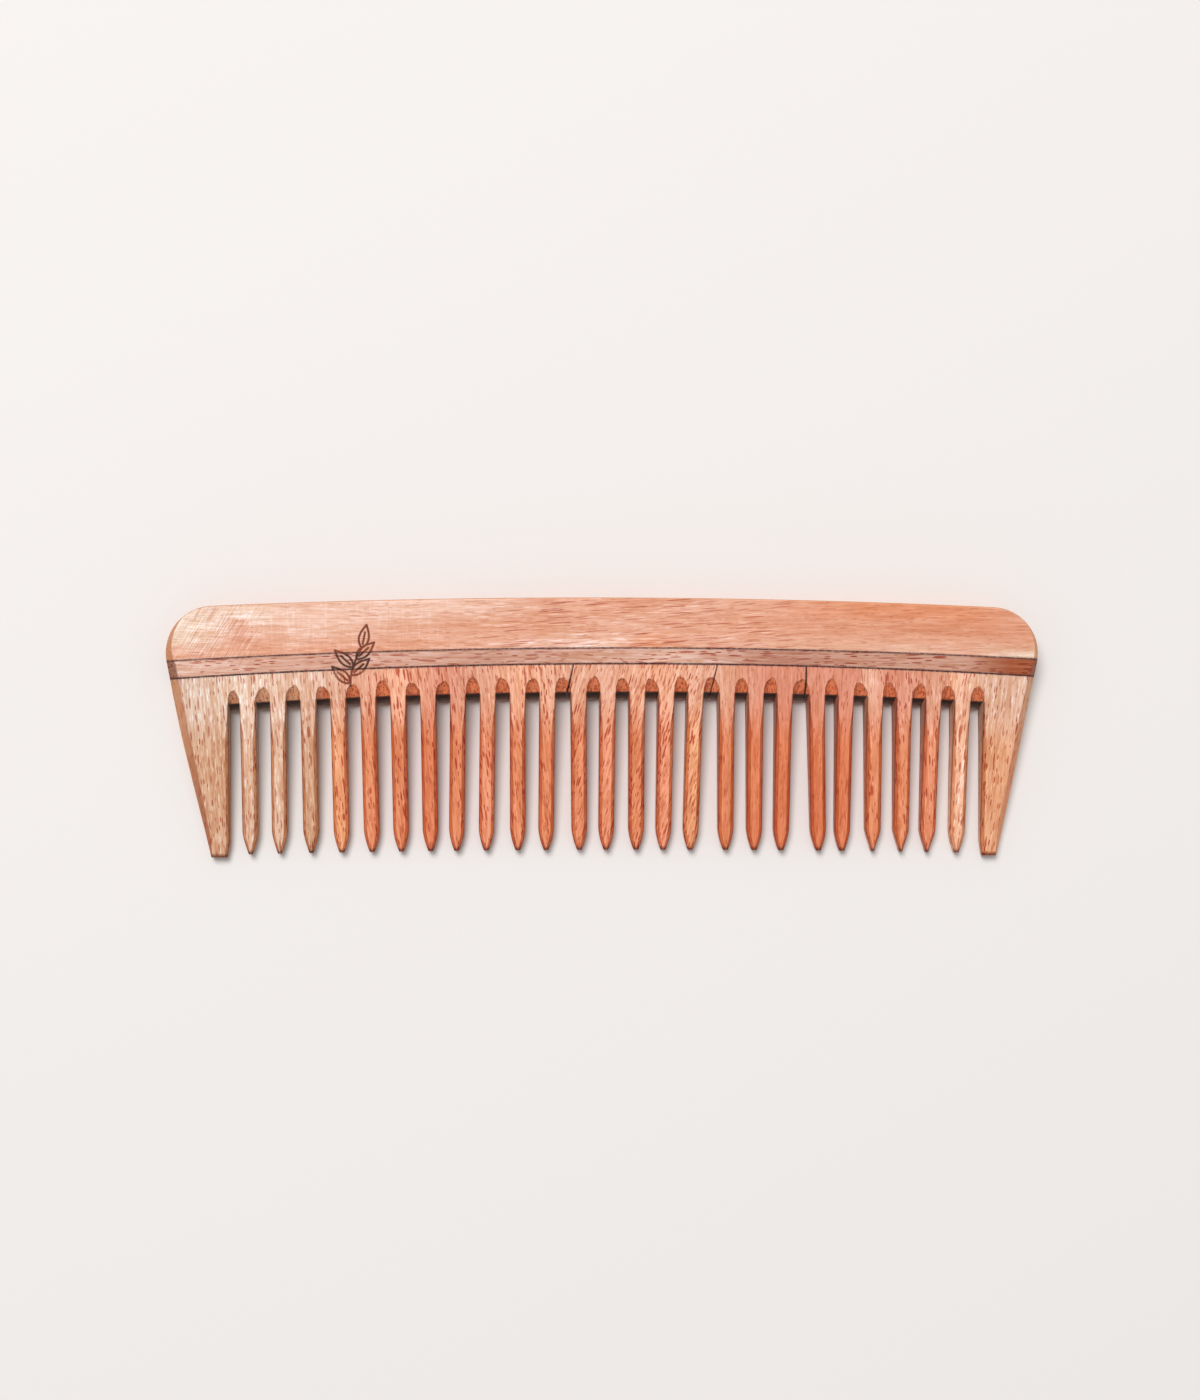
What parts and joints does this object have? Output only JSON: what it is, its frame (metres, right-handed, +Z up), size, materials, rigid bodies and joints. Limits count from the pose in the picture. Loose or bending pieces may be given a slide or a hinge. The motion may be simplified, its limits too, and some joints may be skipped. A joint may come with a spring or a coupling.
{
  "type": "wide tooth comb",
  "caption": "Wooden wide tooth comb with a curved back, a contrasting middle strip and pointed teeth between broad guard teeth, tapering in thickness to the tips.",
  "frame": {"origin": "centre of the comb's outline, on the flat lower face that it lies on", "axes": "+X along the comb towards the right guard tooth, +Y from the tooth tips towards the back, +Z up out of the upper face"},
  "size_m": [0.18, 0.0536, 0.0084],
  "materials": {
    "back_wood": "satin",
    "strip_wood": "satin",
    "tooth_wood": "satin",
    "pale_tooth_wood": "satin"
  },
  "bodies": {
    "root": {"spine": "back_wood", "middle_strip": "strip_wood", "left_guard_block": "pale_tooth_wood", "tooth_block_2": "tooth_wood", "tooth_block_3": "tooth_wood", "tooth_block_4": "tooth_wood", "tooth_block_5": "tooth_wood", "tooth_block_6": "tooth_wood", "right_guard_block": "pale_tooth_wood"}
  },
  "joints": []
}
